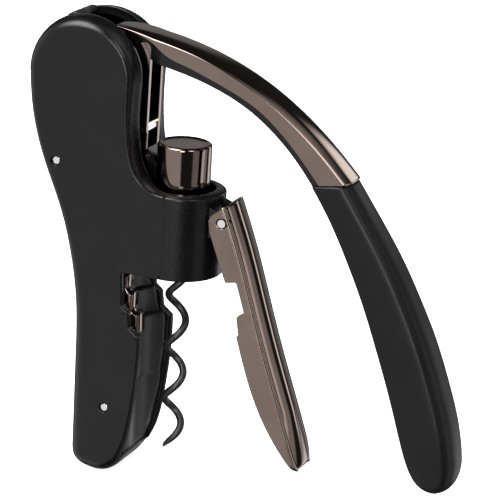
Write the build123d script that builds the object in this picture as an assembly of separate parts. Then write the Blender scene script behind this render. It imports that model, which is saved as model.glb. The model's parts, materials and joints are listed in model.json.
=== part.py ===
"""Lever corkscrew: a die-cast housing with a head, a collar and a leg that cradles the bottle neck.

The origin is on the worm's axis, level with the collar's top face. +Z is up, +X is towards the handle,
and the housing's flat sides face -Y and +Y. All sizes are in millimetres.

Pulling the handle up turns the lever about the carriage pin. The lever's tail roller runs in a curved
cam slot fixed to the housing, so the carriage, the knob and the worm rise together. Two follower pins
in the collar's bush stand between the worm's coils and make it spin as it rises.
"""

import os
from math import atan2, cos, degrees, radians, sin

from build123d import *

os.makedirs("parts", exist_ok=True)

# ---- driving dimensions -------------------------------------------------------------------------

# Housing
BODY_HALF = 16.0  # half the housing's width, and the collar's radius
COLLAR_HEIGHT = 32.0
COLLAR_BORE_R = 12.0
HEAD_X, HEAD_Z, HEAD_R = -36.0, 38.5, 22.0  # the round head, seen from the side
FRONT_X = HEAD_X + HEAD_R  # the head's front edge
LEG_BACK_X, LEG_BOTTOM = -36.0, -113.0
WALL = 2.4
SLOT_HALF = 8.0  # the slot through the head
SLOT_REAR_X = -42.0
LEG_CAVITY_HALF = 12.9
SIDE_FILLET = 6.0

# Motion
STROKE = 62.0  # how far the carriage rises
SWING = 95.0  # how far the lever turns, in degrees
PIVOT_X, PIVOT_Z = -15.5, 8.0  # the carriage pin
TAIL_R, TAIL_ANGLE = 31.0, 120.0  # the roller axle, from the carriage pin, at rest
ROLLER_R = 3.0
ROLLER_GAP = 0.35  # round the roller in its slot

# Worm
WORM_OD = 9.5
WIRE_R = 1.4
PITCH = 20.4
COIL_R = WORM_OD / 2 - WIRE_R
WORM_TIP_Z = -102.3
WORM_TOP_Z = -20.0
COIL_ANGLE, COIL_ANGLE_Z = 21.8, -72.5  # the wire's centre is at this angle at this height

# Knob and carriage
KNOB_R, KNOB_TOP, KNOB_BOTTOM = 10.0, 16.4, -2.0
KNOB_WALL = 1.1
RING_R = 11.0
EAR_HALF = 4.0

# Lever, in layers outwards from its middle plane
CORE_ROOT_HALF = 4.1
ARM_IN, ARM_OUT = 4.2, 5.8
CAM_IN, CAM_OUT = 6.3, 7.7
BAND_HALF = 7.4  # the core's visible lower band
COVER_HALF = 7.7
COVER_WALL = 1.3
CROWN_RISE = 0.9

# Clamp lever
CLAMP_PIN_X, CLAMP_PIN_Z = 19.6, -9.0
CLAMP_HALF = 9.2
CLAMP_WALL = 1.3
EAR_IN, EAR_OUT = 4.2, 7.6

# Fasteners
CROSS_PIN_R = 1.6
UPPER_PIN = (-44.0, 6.2)
LOWER_PIN = (-21.0, -85.6)
AXLE_R = 1.5
GAP = 0.05  # running clearance on a radius


# ---- helpers ------------------------------------------------------------------------------------


def slab(face, low, high):
    """A side-view face given thickness, from y = low to y = high."""
    return Pos(0, high, 0) * extrude(face, high - low)


def outline(*edges):
    """A closed side-view face from edges drawn in (x, z)."""
    return Plane.XZ * make_face(Curve() + list(edges))


def polygon(*points):
    """A closed side-view face with straight sides, from (x, z) corners."""
    return Plane.XZ * make_face(Polyline(*points, close=True))


def rod(at, radius, low, high):
    """A cylinder along Y through the side-view point `at`."""
    return Pos(at[0], (low + high) / 2, at[1]) * Rot(90, 0, 0) * Cylinder(radius, high - low)


def post(radius, low, high):
    """A cylinder on the worm's axis, from z = low to z = high."""
    return Pos(0, 0, (low + high) / 2) * Cylinder(radius, high - low)


def strip(start, end, radius, low, high):
    """A flat link with round ends between two side-view points."""
    dx, dz = end[0] - start[0], end[1] - start[1]
    length = (dx * dx + dz * dz) ** 0.5
    middle = ((start[0] + end[0]) / 2, (start[1] + end[1]) / 2)
    bar = Box(length, high - low, 2 * radius)
    bar = Pos(middle[0], (low + high) / 2, middle[1]) * Rot(0, -degrees(atan2(dz, dx)), 0) * bar
    return bar + rod(start, radius, low, high) + rod(end, radius, low, high)


def save(name, solid):
    """Write one node's solid."""
    solid = Part() + solid
    solid.label = name
    export_step(solid, f"parts/{name}.step")


# ---- housing shell ------------------------------------------------------------------------------

BLEND = 0.06  # keeps the lower body just inside the head where they meet
back_points = [
    (HEAD_X - HEAD_R + BLEND, HEAD_Z),
    (-56.6, 25.0),
    (-51.0, 5.0),
    (-43.6, -13.0),
    (-38.8, -31.0),
    (-36.5, -47.0),
    (LEG_BACK_X, -62.0),
]
back_curve = Spline(*back_points, tangents=[(0, -1), (0, -1)])
leg_back = Line((LEG_BACK_X, -62.0), (LEG_BACK_X, -107.0))
leg_bottom = Polyline((LEG_BACK_X, -107.0), (-34.6, -110.2), (-30.5, -112.2), (-23.5, LEG_BOTTOM))
leg_front = Spline(
    (-23.5, LEG_BOTTOM), (-16.6, -109.5), (-11.8, -99.5), (-9.2, -84.0), (-8.0, -68.0), (-8.0, -58.0),
)
window_steps = Polyline(
    (-8.0, -58.0),
    (-8.0, -55.9),
    (-12.1, -52.4),
    (-12.8, -46.3),
    (-15.5, -44.3),
    (-15.8, -COLLAR_HEIGHT),
    (0, -COLLAR_HEIGHT),
    (0, 0),
)
front_curve = Spline(
    (0, 0), (-7.6, 2.0), (-12.9, 9.5), (-14.6, 21.0), (FRONT_X - BLEND, HEAD_Z), tangents=[(-1, 0), (0, 1)]
)
below_head = outline(
    back_curve,
    leg_back,
    leg_bottom,
    leg_front,
    window_steps,
    front_curve,
    Line((FRONT_X - BLEND, HEAD_Z), (HEAD_X - HEAD_R + BLEND, HEAD_Z)),
)
lower_body = slab(below_head, -BODY_HALF, BODY_HALF)


def is_back_rim(edge):
    """True for the long side edges down the back."""
    spot = edge.center()
    return abs(abs(spot.Y) - BODY_HALF) < 0.01 and spot.X < -35.5 and spot.Z < HEAD_Z - 1 and edge.length > 20


lower_body = fillet(lower_body.edges().filter_by(is_back_rim), SIDE_FILLET)
head = rod((HEAD_X, HEAD_Z), HEAD_R, -BODY_HALF, BODY_HALF)
head = fillet(head.edges().filter_by(GeomType.CIRCLE), SIDE_FILLET)
housing = head + lower_body
housing += post(BODY_HALF, -COLLAR_HEIGHT, 0)

# The upper cavity: a slot through the head, closed behind and open above and in front.
inner_r = HEAD_R - WALL
upper_cavity = outline(
    Line((SLOT_REAR_X, 70), (SLOT_REAR_X, HEAD_Z + (inner_r**2 - (SLOT_REAR_X - HEAD_X) ** 2) ** 0.5)),
    ThreePointArc(
        (SLOT_REAR_X, HEAD_Z + (inner_r**2 - (SLOT_REAR_X - HEAD_X) ** 2) ** 0.5),
        (HEAD_X + inner_r * cos(radians(140)), HEAD_Z + inner_r * sin(radians(140))),
        (HEAD_X - inner_r, HEAD_Z),
    ),
    Spline(
        (HEAD_X - inner_r, HEAD_Z), (-54.0, 25.0), (-48.4, 5.0), (-41.2, -13.0), (-37.6, -27.0),
        tangents=[(0, -1), (0.3, -1)],
    ),
    Polyline((-37.6, -27.0), (-13.6, -27.0), (-13.6, 0), (30, 0), (30, 70), (SLOT_REAR_X, 70)),
)
housing -= slab(upper_cavity, -SLOT_HALF, SLOT_HALF)

# The collar's bore goes on up, so the knob and its ring rise between the walls.
BUSH_LOW, BUSH_HIGH = -29.0, -21.0
housing -= post(COLLAR_BORE_R, BUSH_LOW, 60)
housing -= post(8.0, -COLLAR_HEIGHT - 1, BUSH_LOW + 1)

# The leg is a channel, open in front, that takes the neck cradle.
leg_cavity = polygon(
    (-34.0, -37.0), (-34.0, -106.0), (-24.0, -109.5), (5.0, -109.5), (5.0, -COLLAR_HEIGHT - 0.01),
    (-32.0, -COLLAR_HEIGHT - 0.01),
)
housing -= slab(leg_cavity, -LEG_CAVITY_HALF, LEG_CAVITY_HALF)

# Two ears in front of the collar carry the clamp lever's pin.
CLAMP_PIN = (CLAMP_PIN_X, CLAMP_PIN_Z)
for side in (-1, 1):
    near, far = sorted((side * EAR_IN, side * EAR_OUT))
    ear = slab(polygon((11.0, -3.4), (19.6, -6.2), (19.6, -11.8), (11.0, -17.0)), near, far)
    ear += rod(CLAMP_PIN, 2.8, near, far)
    housing += ear - post(COLLAR_BORE_R + 1, -COLLAR_HEIGHT, 0)
housing -= rod(CLAMP_PIN, AXLE_R, -20, 20)
for pin in (UPPER_PIN, LOWER_PIN):
    housing -= rod(pin, CROSS_PIN_R, -20, 20)
save("housing_shell", housing)

# ---- fixed pieces in the housing ----------------------------------------------------------------

for name, pin in (("upper_cross_pin", UPPER_PIN), ("lower_cross_pin", LOWER_PIN)):
    save(name, rod(pin, CROSS_PIN_R, -BODY_HALF + 0.3, BODY_HALF - 0.3))

# The slot's rear stop, which cushions the raised lever.
bumper_top = HEAD_R + 0.5
bumper = rod((HEAD_X, HEAD_Z), bumper_top, -SLOT_HALF + 0.2, SLOT_HALF - 0.2)
bumper -= rod((HEAD_X, HEAD_Z), HEAD_R + 0.02, -SLOT_HALF, SLOT_HALF)
bumper &= Pos(-45.0, 0, 58.5) * Box(6.0, 2 * SLOT_HALF, 8.0)
save("slot_bumper", bumper)

# Cam plates: the slot follows the roller axle, seen from the housing, as the lever swings.


def axle_at(swing):
    """Where the roller axle stands when the lever has turned by `swing` degrees."""
    angle = radians(TAIL_ANGLE + swing)
    rise = STROKE * swing / SWING
    return (PIVOT_X + TAIL_R * cos(angle), PIVOT_Z + rise + TAIL_R * sin(angle))


TAIL = axle_at(0)
track = [axle_at(SWING * step / 8) for step in range(9)]
track_line = Plane.XZ * Spline(*track)
slot_r = ROLLER_R + ROLLER_GAP
slot_face = Plane(track_line @ 0, x_dir=(0, 1, 0), z_dir=track_line % 0) * Rectangle(30, 2 * slot_r)
cam_slot = sweep(slot_face, path=track_line)
cam_slot += rod(track[0], slot_r, -15, 15) + rod(track[-1], slot_r, -15, 15)
plate_r = HEAD_R - WALL - 0.3
cam_blank = rod((HEAD_X, HEAD_Z), plate_r, CAM_IN, CAM_OUT)
cam_blank += slab(
    polygon(
        (-55.0, 36.0), (-52.8, 24.0), (-47.4, 5.0), (-43.5, -3.0), (-33.0, -3.0), (-19.0, 24.0),
        (-17.2, 36.0),
    ),
    CAM_IN,
    CAM_OUT,
)
cam_plate = cam_blank - cam_slot - rod(UPPER_PIN, CROSS_PIN_R, -20, 20)
save("cam_plate_right", cam_plate)
save("cam_plate_left", Pos(0, -CAM_IN - CAM_OUT, 0) * cam_plate)
spacer = rod(UPPER_PIN, 3.2, -CAM_IN + 0.02, CAM_IN - 0.02) - rod(UPPER_PIN, CROSS_PIN_R, -20, 20)
save("cam_spacer", spacer)

# Neck cradle: stepped ledges, each a hollow round the bottle's axis.
CRADLE_HALF = LEG_CAVITY_HALF - 0.05
cradle = slab(
    polygon(
        (-33.9, -37.5), (-33.9, -105.9), (-24.0, -109.4), (-17.4, -109.0), (-14.9, -105.5), (-12.4, -99.5),
        (-9.7, -84.0), (-8.5, -68.0), (-8.5, -56.2), (-10.6, -53.4), (-13.4, -51.9), (-14.0, -46.2),
        (-15.0, -44.6), (-17.2, -43.0), (-17.2, -COLLAR_HEIGHT - 0.1), (-31.9, -COLLAR_HEIGHT - 0.1),
    ),
    -CRADLE_HALF,
    CRADLE_HALF,
)
NECK_R = 15.0
cradle -= post(NECK_R, -78.0, -54.0)
cradle -= post(18.2, -54.0, -44.5)
cradle -= post(20.6, -44.5, -COLLAR_HEIGHT)
cradle -= post(NECK_R + 1.2, LEG_BOTTOM - 1, -78.0)
STOP_HALF = 2.5
stop_profile = (
    (-26.0, -34.0), (-18.4, -34.0), (-18.4, -42.0), (-17.0, -44.0), (-17.0, -51.0), (-14.0, -53.5),
    (-14.0, -57.5), (-15.5, -59.0), (-26.0, -59.0),
)
cradle -= slab(polygon(*stop_profile), -STOP_HALF, STOP_HALF)
cradle -= rod(LOWER_PIN, CROSS_PIN_R, -20, 20)
save("neck_cradle", cradle)
stop_plate = slab(polygon(*stop_profile), -STOP_HALF + 0.05, STOP_HALF - 0.05)
save("neck_stop_plate", stop_plate)

# The bush guides the worm, and its two follower pins stand in the space between the coils.
BUSH_BORE = WORM_OD / 2 + 0.45
bush = post(COLLAR_BORE_R - 0.03, BUSH_LOW, BUSH_HIGH) - post(BUSH_BORE, BUSH_LOW - 1, BUSH_HIGH + 1)
PIN_Z = -25.0
FOLLOWER_R = 1.2
coil_angle_at_pins = COIL_ANGLE + 360 * (PIN_Z - COIL_ANGLE_Z) / PITCH
for name, turn in (("follower_pin_front", 90), ("follower_pin_rear", -90)):
    follower = Pos(6.9, 0, PIN_Z) * Rot(0, 90, 0) * Cylinder(FOLLOWER_R, 8.6)
    follower = Rot(0, 0, coil_angle_at_pins + turn) * follower
    bush -= follower
    save(name, follower)
save("worm_bush", bush)

# ---- worm, turning on the worm's axis -----------------------------------------------------------


def coil_point(height, radius=COIL_R):
    """The wire's centre at a height on the worm."""
    angle = radians(COIL_ANGLE + 360 * (height - COIL_ANGLE_Z) / PITCH)
    return Vector(radius * cos(angle), radius * sin(angle), height)


WIRE_LOW = -96.0
helix = Helix(pitch=PITCH, height=WORM_TOP_Z + 2 - WIRE_LOW, radius=COIL_R)
start_angle = COIL_ANGLE + 360 * (WIRE_LOW - COIL_ANGLE_Z) / PITCH
helix = Rot(0, 0, start_angle) * Pos(0, 0, WIRE_LOW) * helix
wire = sweep(Plane(helix @ 0, z_dir=helix % 0) * Circle(WIRE_R), path=helix, is_frenet=True)
tip_curve = Spline(
    coil_point(WORM_TIP_Z, 2.9), coil_point(-99.5, 3.15), coil_point(-98.0, 3.3),
    coil_point(WIRE_LOW), coil_point(WIRE_LOW + 0.8)
)
tip_rings = [
    Plane(tip_curve @ share, z_dir=tip_curve % share) * Circle(radius)
    for share, radius in ((0, 0.25), (0.35, 0.75), (0.7, 1.2), (1, WIRE_R - 0.02))
]
tip = loft(tip_rings)
SHANK_R = 4.6
worm = wire + tip + post(SHANK_R, WORM_TOP_Z, 6.0) + post(6.4, 6.0, 8.0) + post(3.0, 8.0, 12.0)
save("worm", worm)

# ---- carriage: everything that only slides up with the worm -------------------------------------

PIVOT = (PIVOT_X, PIVOT_Z)
carriage = post(8.8, -5.0, 5.0) + post(RING_R, -6.5, -4.0)
arm = polygon(
    (0, 3.0), (0, -2.0), (-9.8, -2.0), (-10.6, 0.6), (-18.3, 4.2), (-18.3, 11.0), (-12.9, 13.0), (-7, 5.0),
)
carriage += slab(arm, -EAR_HALF, EAR_HALF)
carriage -= post(SHANK_R + GAP, -8, 5.5)
carriage -= post(6.6, 4.0, 14)
carriage -= rod(PIVOT, AXLE_R + GAP, -10, 10)
carriage -= post(6.6, 4.0, 14)
save("carriage", carriage)
thrust_washer = post(6.5, 4.02, 5.4) - post(SHANK_R + GAP, 3, 7)
save("thrust_washer", thrust_washer)
cap = post(KNOB_R, KNOB_BOTTOM, KNOB_TOP) - post(KNOB_R - KNOB_WALL, KNOB_BOTTOM - 1, KNOB_TOP - 1.6)
cap = fillet(cap.edges().filter_by(GeomType.CIRCLE).sort_by(Axis.Z)[-1], 0.8)
cap -= Pos(-KNOB_R, 0, 5.0) * Box(10.0, 2 * EAR_HALF + 0.4, 17.0)
save("knob_cap", cap)
ring = post(RING_R, -3.98, KNOB_BOTTOM - 0.02) - post(8.9, -6, 0)
ring -= Pos(-KNOB_R, 0, -2.0) * Box(10.0, 2 * EAR_HALF + 0.4, 3.0)
save("knob_ring", ring)
save("carriage_pin", rod(PIVOT, AXLE_R, -ARM_OUT + 0.05, ARM_OUT - 0.05))
keeper = post(5.6, 8.4, 9.2) - post(3.0, 8, 10)
save("worm_keeper_ring", keeper)

# ---- lever --------------------------------------------------------------------------------------

JOINT_LOW, JOINT_HIGH = (52.6, 9.9), (66.5, 11.8)
top_points = [
    (-27.0, 57.2), (-20.0, 56.5), (-10.0, 55.2), (0, 53.1), (12.0, 49.6), (24.0, 44.6), (36.0, 37.9),
    (47.0, 30.0),
    (57.5, 20.9), JOINT_HIGH,
]
under_points = [JOINT_LOW, (46.7, 17.3), (39.0, 25.0), (27.6, 33.4), (14.8, 39.3), (4.3, 42.5), (-7.4, 44.9)]
root_points = [
    (-7.4, 44.9), (-10.2, 45.6), (-13.4, 47.3), (-16.0, 49.2), (-19.0, 51.6), (-22.0, 54.0), (-25.5, 56.5),
]
cover_low_points = [
    (55.2, 10.3), (48.9, 17.8), (41.1, 25.9), (31.1, 34.0), (21.8, 38.8), (11.2, 42.9), (1.7, 46.1),
    (-4.6, 48.0),
]
cover_sweep_points = [(-4.6, 48.0), (-8.4, 50.4), (-12.0, 53.6), (-16.5, 55.1), (-22.0, 55.9), (-27.0, 56.4)]
top_edge = Spline(*top_points)
crown_edge = Spline(*[(x, z + CROWN_RISE) for x, z in top_points])
cover_low = Spline(*cover_low_points)
cover_sweep = Spline(*cover_sweep_points)

lever_side = outline(
    top_edge,
    Line(JOINT_HIGH, JOINT_LOW),
    Spline(*under_points),
    Polyline(*root_points, top_points[0]),
)
cover_side = outline(
    crown_edge,
    Line((JOINT_HIGH[0], JOINT_HIGH[1] + CROWN_RISE), cover_low_points[0]),
    cover_low,
    cover_sweep,
    Line(cover_sweep_points[-1], (top_points[0][0], top_points[0][1] + CROWN_RISE)),
)
TAIL_CUT = Pos(-30.0, 0, 55.0) * Box(20.0, 40, 12.0)
cover_blank = slab(cover_side, -COVER_HALF, COVER_HALF)
core_seat = slab(lever_side, -COVER_HALF + COVER_WALL, COVER_HALF - COVER_WALL)
core_seat = (Pos(0, 0, -COVER_WALL + CROWN_RISE) * core_seat) & core_seat
cover = cover_blank - core_seat
cover -= slab(lever_side, -CORE_ROOT_HALF - 10, -ARM_OUT) & TAIL_CUT
cover -= slab(lever_side, ARM_OUT, CORE_ROOT_HALF + 10) & TAIL_CUT
save("lever_cover", cover)

core = core_seat + (slab(lever_side, -BAND_HALF, BAND_HALF) - cover_blank)
tang = outline(
    Spline((59.5, 10.9), (75.0, -13.0), (86.0, -35.0), (94.0, -57.0)),
    Line((94.0, -57.0), (98.5, -55.5)),
    Spline((98.5, -55.5), (90.5, -33.0), (79.5, -11.0), (64.5, 11.5)),
    Line((64.5, 11.5), (59.5, 10.9)),
)
core += slab(tang, -3.5, 3.5)
arm_strips = [strip(PIVOT, (-14.9, 50.0), 2.4, -20, 20), strip(PIVOT, TAIL, 3.0, -20, 20)]
root_clear = arm_strips[0] & (Pos(0, (ARM_IN + ARM_OUT) / 2, 0) * Box(200, ARM_OUT - ARM_IN, 200))
core -= root_clear
core -= mirror(root_clear, about=Plane.XZ)
save("lever_core", core)

# Two bell-crank arms join the carriage pin, the core and the roller axle.
RIVETS = [(-15.3, 20.0), (-14.9, 49.0)]
for name, near, far in (("lever_arm_left", -ARM_OUT, -ARM_IN), ("lever_arm_right", ARM_IN, ARM_OUT)):
    arm_plate = strip(PIVOT, (-14.9, 50.0), 2.4, near, far) + strip(PIVOT, TAIL, 3.0, near, far)
    arm_plate += rod(PIVOT, 3.6, near, far)
    for spot in (PIVOT, TAIL):
        arm_plate -= rod(spot, AXLE_R + GAP, -20, 20)
    arm_plate -= rod(RIVETS[0], 1.2, -20, 20)
    save(name, arm_plate)
rivet = rod(RIVETS[0], 1.2, -ARM_OUT, ARM_OUT) + rod(RIVETS[0], 2.0, -ARM_IN + 0.02, ARM_IN - 0.02)
save("arm_spacer_rivet", rivet)
save("roller_axle", rod(TAIL, AXLE_R, -CAM_OUT, CAM_OUT))
roller_places = (
    ("cam_roller_left", -CAM_OUT + 0.05, -CAM_IN + 0.3),
    ("cam_roller_right", CAM_IN - 0.3, CAM_OUT - 0.05),
)
for name, near, far in roller_places:
    roller = rod(TAIL, ROLLER_R, near, far) - rod(TAIL, AXLE_R + GAP, -20, 20)
    save(name, roller)

# Grip: thickens towards a round end.
grip_top = Spline(
    JOINT_HIGH, (76.4, -2.3), (85.3, -15.7), (92.9, -29.4), (99.7, -43.3), (105.3, -57.5), (110.0, -71.8),
    (112.6, -85.0)
)
grip_end = Spline(
    (112.6, -85.0), (111.6, -93.6), (106.0, -98.6), (98.8, -95.0), (95.0, -86.0),
    tangents=[(0.1, -1), (-0.3, 1)],
)
grip_under = Spline(
    (95.0, -86.0), (90.9, -71.8), (86.0, -57.5), (80.6, -43.3), (74.3, -28.2), (67.3, -14.0), (59.9, -0.8),
    JOINT_LOW,
)
grip_side = outline(Line(JOINT_LOW, JOINT_HIGH), grip_top, grip_end, grip_under)
grip = slab(grip_side, -10.5, 10.5)
end_view = make_face(
    Curve()
    + [
        Line((-7.9, 20), (7.9, 20)),
        Spline((7.9, 20), (8.0, 8), (9.2, -25), (9.8, -60), (9.6, -80), (7.4, -93), (0, -98.8)),
        Spline((0, -98.8), (-7.4, -93), (-9.6, -80), (-9.8, -60), (-9.2, -25), (-8.0, 8), (-7.9, 20)),
    ]
)
grip &= Pos(-150, 0, 0) * extrude(Plane.YZ * end_view, 400)
grip -= slab(tang, -3.55, 3.55)
GRIP_PIN = (83.6, -22.0)
grip -= rod(GRIP_PIN, 1.5, -6.5, 6.5)
save("lever_grip", grip)

# ---- clamp lever --------------------------------------------------------------------------------

clamp_front = Spline((21.8, -2.0), (27.6, -17.0), (34.2, -36.0), (41.0, -57.0), (47.6, -77.0), (54.4, -96.6))
clamp_side = outline(
    clamp_front,
    ThreePointArc((54.4, -96.6), (53.2, -99.9), (50.2, -98.2)),
    Spline((50.2, -98.2), (42.2, -85.0), (35.0, -70.0), (30.0, -57.0), (28.0, -51.0)),
    Polyline(
        (28.0, -51.0), (28.6, -49.8), (27.6, -43.6), (30.2, -40.9), (26.6, -30.0), (22.6, -31.2),
        (14.9, -12.4),
        (14.5, -8.0), (21.8, -2.0),
    ),
)
clamp = slab(clamp_side, -CLAMP_HALF, CLAMP_HALF)
hollow = Pos(-CLAMP_WALL * 1.05, 0, 0) * slab(clamp_side, -CLAMP_HALF + CLAMP_WALL, CLAMP_HALF - CLAMP_WALL)
clamp -= hollow
clamp -= slab(
    polygon(
        (20.2, 3.0), (20.2, -2.2), (32.8, -36.2), (39.6, -57.2), (46.2, -77.2), (50.5, -90.0),
        (0, -90.0), (0, 3.0),
    ),
    -CLAMP_HALF + CLAMP_WALL,
    CLAMP_HALF - CLAMP_WALL,
)
clamp -= rod(CLAMP_PIN, AXLE_R + GAP, -20, 20)
save("clamp_lever", clamp)
save("clamp_pin", rod(CLAMP_PIN, AXLE_R, -CLAMP_HALF, CLAMP_HALF))
SPRING_WIRE_R = 0.55
coil_r = AXLE_R + SPRING_WIRE_R + 0.5
spring_path = Helix(pitch=1.5, height=6.0, radius=coil_r)
spring_section = Plane(spring_path @ 0, z_dir=spring_path % 0) * Circle(SPRING_WIRE_R)
spring_coil = sweep(spring_section, path=spring_path, is_frenet=True)
spring = Pos(CLAMP_PIN_X, 3.0, CLAMP_PIN_Z) * Rot(90, 0, 0) * spring_coil
save("clamp_spring", spring)
save("grip_pin", rod(GRIP_PIN, 1.5, -6.5, -3.6))
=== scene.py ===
import json

import bpy
import numpy as np
from mathutils import Matrix, Vector
from mathutils.geometry import delaunay_2d_cdt


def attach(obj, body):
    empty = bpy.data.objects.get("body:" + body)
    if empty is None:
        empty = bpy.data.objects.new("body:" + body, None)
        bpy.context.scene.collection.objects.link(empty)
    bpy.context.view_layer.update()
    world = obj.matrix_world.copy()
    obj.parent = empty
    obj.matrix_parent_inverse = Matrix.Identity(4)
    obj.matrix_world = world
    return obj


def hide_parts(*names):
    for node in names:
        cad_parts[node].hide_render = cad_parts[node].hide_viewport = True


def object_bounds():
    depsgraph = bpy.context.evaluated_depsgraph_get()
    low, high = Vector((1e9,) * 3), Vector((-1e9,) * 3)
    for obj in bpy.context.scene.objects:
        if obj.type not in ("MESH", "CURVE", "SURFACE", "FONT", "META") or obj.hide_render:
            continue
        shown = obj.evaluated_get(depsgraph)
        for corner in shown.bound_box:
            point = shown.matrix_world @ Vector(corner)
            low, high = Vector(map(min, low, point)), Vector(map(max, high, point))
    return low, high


# A lever corkscrew: satin black casting, black-nickel lever and clamp, soft-touch grip, coated worm.
# Shapes are worked out in millimetres, in the model's own frame, and put in the meshes in metres.

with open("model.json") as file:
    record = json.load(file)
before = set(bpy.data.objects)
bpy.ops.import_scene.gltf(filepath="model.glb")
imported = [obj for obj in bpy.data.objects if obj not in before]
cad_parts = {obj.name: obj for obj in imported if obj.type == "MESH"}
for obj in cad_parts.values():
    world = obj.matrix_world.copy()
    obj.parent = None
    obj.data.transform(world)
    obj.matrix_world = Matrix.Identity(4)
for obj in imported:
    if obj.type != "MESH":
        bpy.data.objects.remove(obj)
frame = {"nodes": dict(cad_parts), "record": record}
bpy.context.view_layer.update()
cad_low, cad_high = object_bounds()


# ---- curves and surfaces ------------------------------------------------------------------------


def chord(points):
    """Distance along a run of points, from its start."""
    return np.r_[0, np.cumsum(np.linalg.norm(np.diff(points, axis=0), axis=1))]


def smooth_line(points, count):
    """A natural cubic spline through the points, read at `count` places even along its chord length."""
    p = np.array(points, float)
    t = chord(p)
    h = np.diff(t)
    i = np.arange(1, len(p) - 1)
    a, b = np.eye(len(p)), np.zeros_like(p)
    a[i, i - 1], a[i, i], a[i, i + 1] = h[:-1], 2 * (h[:-1] + h[1:]), h[1:]
    b[1:-1] = 6 * np.diff(np.diff(p, axis=0) / h[:, None], axis=0)
    m = np.linalg.solve(a, b)
    s = np.linspace(0, t[-1], count)
    k = np.clip(np.searchsorted(t, s, side="right") - 1, 0, len(p) - 2)
    u, v, w = (t[k + 1] - s)[:, None], (s - t[k])[:, None], h[k][:, None]
    bend = (m[k] * u**3 + m[k + 1] * v**3) / (6 * w)
    return bend + (p[k] / w - m[k] * w / 6) * u + (p[k + 1] / w - m[k + 1] * w / 6) * v


def run(points, count, straight=False):
    """A stretch of outline. Rows are x, z and then any widths, which change evenly between the points."""
    p = np.array(points, float)
    t = chord(p[:, :2])
    s = np.linspace(0, t[-1], count)
    read = lambda c: np.interp(s, t, p[:, c])
    line = np.stack([read(0), read(1)], 1) if straight else smooth_line(p[:, :2], count)
    return np.hstack([line] + [read(c)[:, None] for c in range(2, p.shape[1])])


def join(*runs):
    """Stretches of outline put end to end as one closed loop, without doubled points."""
    loop = np.vstack(runs)
    keep = np.linalg.norm(loop[:, :2] - np.roll(loop[:, :2], 1, 0), axis=1) > 0.02
    return loop[keep]


def inward(path):
    """Unit normals to the left of a closed path, lengthened at corners so an offset keeps its width."""
    ahead = np.roll(path, -1, 0) - path
    ahead /= np.linalg.norm(ahead, axis=1)[:, None]
    left = np.stack([-ahead[:, 1], ahead[:, 0]], 1)
    mean = left + np.roll(left, 1, 0)
    mean /= np.linalg.norm(mean, axis=1)[:, None]
    return mean / np.maximum((mean * left).sum(1), 0.6)[:, None]


def strips(rows, columns, round_columns=True):
    """Quads of a grid whose rows follow each other; its columns may close on themselves."""
    k, i = np.meshgrid(np.arange(rows - 1), np.arange(columns if round_columns else columns - 1), indexing="ij")
    j = (i + 1) % columns
    return np.stack(
        [k * columns + i, k * columns + j, (k + 1) * columns + j, (k + 1) * columns + i], -1,
    ).reshape(-1, 4)


def fill(loops, ties=()):
    """Triangles inside closed loops of 2-D points, holes left open: rows of indices into the loops end to end."""
    points = np.vstack(loops)
    edges, start = [], 0
    for loop in loops:
        i = np.arange(len(loop))
        edges.append(np.stack([i, (i + 1) % len(loop)], 1) + start)
        start += len(loop)
    edges = np.vstack(edges)
    wanted = edges.tolist() + [list(tie) for tie in ties]
    placed, _, found, source, _, _ = delaunay_2d_cdt([Vector(p) for p in points], wanted, [], 0, 1e-7)
    near = lambda v: int(np.argmin(np.linalg.norm(points - np.array(v), axis=1)))
    corner = np.array([s[0] if s else near(v) for s, v in zip(source, placed)])
    tri = corner[np.array(found)]
    c = points[tri].mean(1)
    a, b = points[edges[:, 0]], points[edges[:, 1]]
    rise = (b - a)[None, :, 1] + 1e-30
    over = (a[None, :, 1] > c[:, None, 1]) != (b[None, :, 1] > c[:, None, 1])
    left = c[:, None, 0] < (b - a)[None, :, 0] * (c[:, None, 1] - a[None, :, 1]) / rise + a[None, :, 0]
    tri = tri[(over & left).sum(1) % 2 == 1]
    e, f = points[tri[:, 1]] - points[tri[:, 0]], points[tri[:, 2]] - points[tri[:, 0]]
    turned = e[:, 0] * f[:, 1] - e[:, 1] * f[:, 0] < 0
    tri[turned] = tri[turned][:, ::-1]
    return tri


def piece(name, parts, body, stands_for=(), material=None):
    """One mesh object from (vertices in mm, list of face arrays) parts, smooth, riding on a CAD body."""
    verts, faces, start = [], [], 0
    for points, groups in parts:
        verts.append(np.asarray(points, float).reshape(-1, 3))
        faces += [(np.asarray(g) + start).tolist() for g in groups if len(g)]
        start += len(verts[-1])
    mesh = bpy.data.meshes.new(name)
    mesh.from_pydata((np.vstack(verts) * 0.001).tolist(), [], [f for group in faces for f in group])
    mesh.validate()
    mesh.shade_smooth()
    made = bpy.data.objects.new(name, mesh)
    bpy.context.scene.collection.objects.link(made)
    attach(made, body)
    if stands_for:
        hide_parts(*stands_for)
    if material:
        mesh.materials.append(material)
    return made


def mirrored(part):
    """The same part on the other side of the middle plane, faces still outwards."""
    points, groups = part
    return np.asarray(points) * (1, -1, 1), [np.asarray(g)[:, ::-1] for g in groups]


HOLE_STEPS = 40  # points round a drilled hole
GUARD = 0.3  # a flat band round each hole keeps its rounded edge from shading the face


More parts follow.
